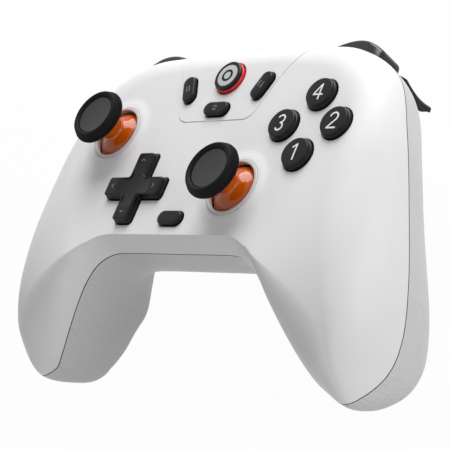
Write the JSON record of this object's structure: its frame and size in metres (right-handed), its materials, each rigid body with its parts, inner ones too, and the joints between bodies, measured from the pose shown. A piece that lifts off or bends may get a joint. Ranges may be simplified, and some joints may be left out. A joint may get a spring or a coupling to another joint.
{
  "type": "gamepad controller",
  "caption": "Two-handed wireless gamepad with offset thumb sticks, a cross pad, face buttons, centre buttons, bumpers and analogue triggers in a two-piece shell.",
  "frame": {"origin": "middle of the pad's bounding box in plan, at the lowest point of the grips", "axes": "+X to the pad's right, +Y from the grips towards the bumpers, +Z out of the face with the sticks"},
  "size_m": [0.1544, 0.107, 0.0631],
  "materials": {
    "white_satin": "satin moulded plastic",
    "grey_textured": "fine dotted moulding texture",
    "ring_grey": "satin",
    "cap_rubber": "soft satin rubber, knurled rim",
    "dome_orange": "gloss",
    "button_dark": "satin gloss",
    "ring_red": "gloss",
    "bumper_gloss": "gloss",
    "trigger_black": "satin",
    "mechanism": "moulded, unpolished",
    "steel": "bright",
    "screw_dark": "blackened",
    "membrane": "matt silicone",
    "board_green": "solder resist",
    "battery_grey": "foil wrap"
  },
  "bodies": {
    "shell": {"front_shell": "white_satin", "rear_shell": "grey_textured", "centre_panel": "white_satin", "left_stick_ring": "ring_grey", "right_stick_ring": "ring_grey", "left_stick_module": "mechanism", "right_stick_module": "mechanism", "face_button_membrane": "membrane", "dpad_membrane": "membrane", "centre_membrane": "membrane", "left_trigger_pin": "steel", "right_trigger_pin": "steel", "left_trigger_spring": "steel", "right_trigger_spring": "steel", "left_shoulder_bracket": "mechanism", "right_shoulder_bracket": "mechanism", "bumper_switches": "mechanism", "main_board": "board_green", "board_screws": "steel", "usb_socket": "steel", "battery_pack": "battery_grey", "left_rumble_motor": "steel", "right_rumble_motor": "steel", "shell_screws": "screw_dark"},
    "left_gimbal": {"left_stick_gimbal": "mechanism"},
    "left_pivot": {"left_stick_pivot": "mechanism"},
    "left_stick": {"left_stick_dome": "dome_orange", "left_stick_cap": "cap_rubber"},
    "right_gimbal": {"right_stick_gimbal": "mechanism"},
    "right_pivot": {"right_stick_pivot": "mechanism"},
    "right_stick": {"right_stick_dome": "dome_orange", "right_stick_cap": "cap_rubber"},
    "button_a": {"button_a": "button_dark"},
    "button_b": {"button_b": "button_dark"},
    "button_x": {"button_x": "button_dark"},
    "button_y": {"button_y": "button_dark"},
    "view_button": {"view_button": "button_dark"},
    "menu_button": {"menu_button": "button_dark"},
    "share_button": {"share_button": "button_dark"},
    "function_button": {"function_button": "button_dark"},
    "home": {"home_button": "button_dark", "home_ring": "ring_red"},
    "dpad_ball": {"dpad_pivot": "steel"},
    "dpad": {"dpad": "button_dark"},
    "left_bumper": {"left_bumper": "bumper_gloss"},
    "right_bumper": {"right_bumper": "bumper_gloss"},
    "left_trigger": {"left_trigger": "trigger_black"},
    "right_trigger": {"right_trigger": "trigger_black"},
    "left_weight": {"left_rumble_weight": "steel"},
    "right_weight": {"right_rumble_weight": "steel"}
  },
  "joints": [
    {"name": "button_a_press", "type": "slide", "parent": "shell", "child": "button_a", "axis": [0, 0, -1], "range_m": [0, 0.0012], "stiffness_N_per_m": 400, "springref_m": -0.0006},
    {"name": "button_b_press", "type": "slide", "parent": "shell", "child": "button_b", "axis": [0, 0, -1], "range_m": [0, 0.0012], "stiffness_N_per_m": 400, "springref_m": -0.0006},
    {"name": "button_x_press", "type": "slide", "parent": "shell", "child": "button_x", "axis": [0, 0, -1], "range_m": [0, 0.0012], "stiffness_N_per_m": 400, "springref_m": -0.0006},
    {"name": "button_y_press", "type": "slide", "parent": "shell", "child": "button_y", "axis": [0, 0, -1], "range_m": [0, 0.0012], "stiffness_N_per_m": 400, "springref_m": -0.0006},
    {"name": "view_press", "type": "slide", "parent": "shell", "child": "view_button", "axis": [0, 0, -1], "range_m": [0, 0.0006], "stiffness_N_per_m": 600, "springref_m": -0.0003},
    {"name": "menu_press", "type": "slide", "parent": "shell", "child": "menu_button", "axis": [0, 0, -1], "range_m": [0, 0.0006], "stiffness_N_per_m": 600, "springref_m": -0.0003},
    {"name": "share_press", "type": "slide", "parent": "shell", "child": "share_button", "axis": [0, 0, -1], "range_m": [0, 0.0006], "stiffness_N_per_m": 600, "springref_m": -0.0003},
    {"name": "function_press", "type": "slide", "parent": "shell", "child": "function_button", "axis": [0, 0, -1], "range_m": [0, 0.0006], "stiffness_N_per_m": 600, "springref_m": -0.0003},
    {"name": "home_press", "type": "slide", "parent": "shell", "child": "home", "axis": [0, 0, -1], "range_m": [0, 0.0006], "stiffness_N_per_m": 600, "springref_m": -0.0003},
    {"name": "dpad_tilt_x", "type": "hinge", "parent": "shell", "child": "dpad_ball", "pos_m": [-0.0208, -0.00155, 0.0479], "axis": [1, 0, 0], "range_deg": [-4.5, 4.5], "stiffness_Nm_per_rad": 0.3},
    {"name": "dpad_tilt_y", "type": "hinge", "parent": "dpad_ball", "child": "dpad", "pos_m": [-0.0208, -0.00155, 0.0479], "axis": [0, 1, 0], "range_deg": [-4.5, 4.5], "stiffness_Nm_per_rad": 0.3},
    {"name": "left_stick_tilt_x", "type": "hinge", "parent": "shell", "child": "left_gimbal", "pos_m": [-0.0417, 0.01945, 0.0429], "axis": [1, 0, 0], "range_deg": [-18, 18], "stiffness_Nm_per_rad": 0.03},
    {"name": "left_stick_tilt_y", "type": "hinge", "parent": "left_gimbal", "child": "left_pivot", "pos_m": [-0.0417, 0.01945, 0.0429], "axis": [0, 1, 0], "range_deg": [-18, 18], "stiffness_Nm_per_rad": 0.03},
    {"name": "left_stick_press", "type": "slide", "parent": "left_pivot", "child": "left_stick", "axis": [0, 0, -1], "range_m": [0, 0.0005], "stiffness_N_per_m": 4000, "springref_m": -0.00025},
    {"name": "right_stick_tilt_x", "type": "hinge", "parent": "shell", "child": "right_gimbal", "pos_m": [0.0208, -0.00155, 0.0429], "axis": [1, 0, 0], "range_deg": [-18, 18], "stiffness_Nm_per_rad": 0.03},
    {"name": "right_stick_tilt_y", "type": "hinge", "parent": "right_gimbal", "child": "right_pivot", "pos_m": [0.0208, -0.00155, 0.0429], "axis": [0, 1, 0], "range_deg": [-18, 18], "stiffness_Nm_per_rad": 0.03},
    {"name": "right_stick_press", "type": "slide", "parent": "right_pivot", "child": "right_stick", "axis": [0, 0, -1], "range_m": [0, 0.0005], "stiffness_N_per_m": 4000, "springref_m": -0.00025},
    {"name": "left_trigger_pull", "type": "hinge", "parent": "shell", "child": "left_trigger", "pos_m": [-0.0446, 0.03805, 0.0304], "axis": [-1, 0, 0], "range_deg": [0, 18], "stiffness_Nm_per_rad": 0.05, "springref_deg": -5.73},
    {"name": "left_bumper_press", "type": "hinge", "parent": "shell", "child": "left_bumper", "pos_m": [-0.0289, 0.04105, 0.0389], "axis": [0, 0, 1], "range_deg": [0, 1.8], "stiffness_Nm_per_rad": 1, "springref_deg": -0.57},
    {"name": "left_rumble_spin", "type": "hinge", "parent": "shell", "child": "left_weight", "pos_m": [-0.055, -0.01855, 0.0209], "axis": [0, 1, 0], "continuous": true},
    {"name": "right_trigger_pull", "type": "hinge", "parent": "shell", "child": "right_trigger", "pos_m": [0.0446, 0.03805, 0.0304], "axis": [-1, 0, 0], "range_deg": [0, 18], "stiffness_Nm_per_rad": 0.05, "springref_deg": -5.73},
    {"name": "right_bumper_press", "type": "hinge", "parent": "shell", "child": "right_bumper", "pos_m": [0.0289, 0.04105, 0.0389], "axis": [0, 0, -1], "range_deg": [0, 1.8], "stiffness_Nm_per_rad": 1, "springref_deg": -0.57},
    {"name": "right_rumble_spin", "type": "hinge", "parent": "shell", "child": "right_weight", "pos_m": [0.055, -0.01855, 0.0209], "axis": [0, 1, 0], "continuous": true}
  ]
}
